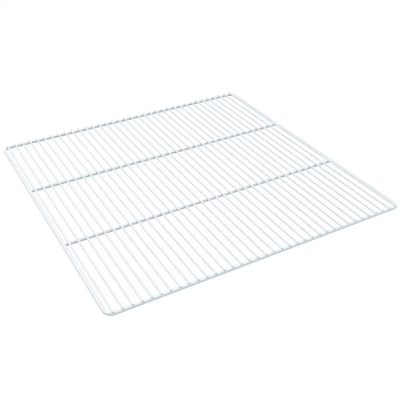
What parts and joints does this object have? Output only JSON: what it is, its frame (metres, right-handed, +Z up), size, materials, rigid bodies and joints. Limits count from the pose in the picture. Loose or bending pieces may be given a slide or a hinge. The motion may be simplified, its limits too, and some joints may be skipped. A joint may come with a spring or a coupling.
{
  "type": "refrigerator wire shelf",
  "caption": "Flat square shelf of white coated wire: thin parallel deck wires welded on a round-cornered frame wire and cross wires, to hold food in a refrigerator.",
  "frame": {"origin": "below the middle of the shelf, on the plane that the frame wire rests on", "axes": "+X across the shelf along the cross wires, +Y to the rear along the deck wires, +Z up, with the deck wires on top"},
  "size_m": [0.584, 0.584, 0.0092],
  "materials": {
    "white_coating": "smooth satin white coating on steel wire"
  },
  "bodies": {
    "root": {"frame_wire": "white_coating", "cross_wire_front": "white_coating", "cross_wire_rear": "white_coating", "deck_wire_01": "white_coating", "deck_wire_02": "white_coating", "deck_wire_03": "white_coating", "deck_wire_04": "white_coating", "deck_wire_05": "white_coating", "deck_wire_06": "white_coating", "deck_wire_07": "white_coating", "deck_wire_08": "white_coating", "deck_wire_09": "white_coating", "deck_wire_10": "white_coating", "deck_wire_11": "white_coating", "deck_wire_12": "white_coating", "deck_wire_13": "white_coating", "deck_wire_14": "white_coating", "deck_wire_15": "white_coating", "deck_wire_16": "white_coating", "deck_wire_17": "white_coating", "deck_wire_18": "white_coating", "deck_wire_19": "white_coating", "deck_wire_20": "white_coating", "deck_wire_21": "white_coating", "deck_wire_22": "white_coating", "deck_wire_23": "white_coating", "deck_wire_24": "white_coating", "deck_wire_25": "white_coating", "deck_wire_26": "white_coating", "deck_wire_27": "white_coating", "deck_wire_28": "white_coating", "deck_wire_29": "white_coating", "deck_wire_30": "white_coating", "deck_wire_31": "white_coating", "deck_wire_32": "white_coating", "deck_wire_33": "white_coating", "deck_wire_34": "white_coating", "deck_wire_35": "white_coating", "deck_wire_36": "white_coating"}
  },
  "joints": []
}
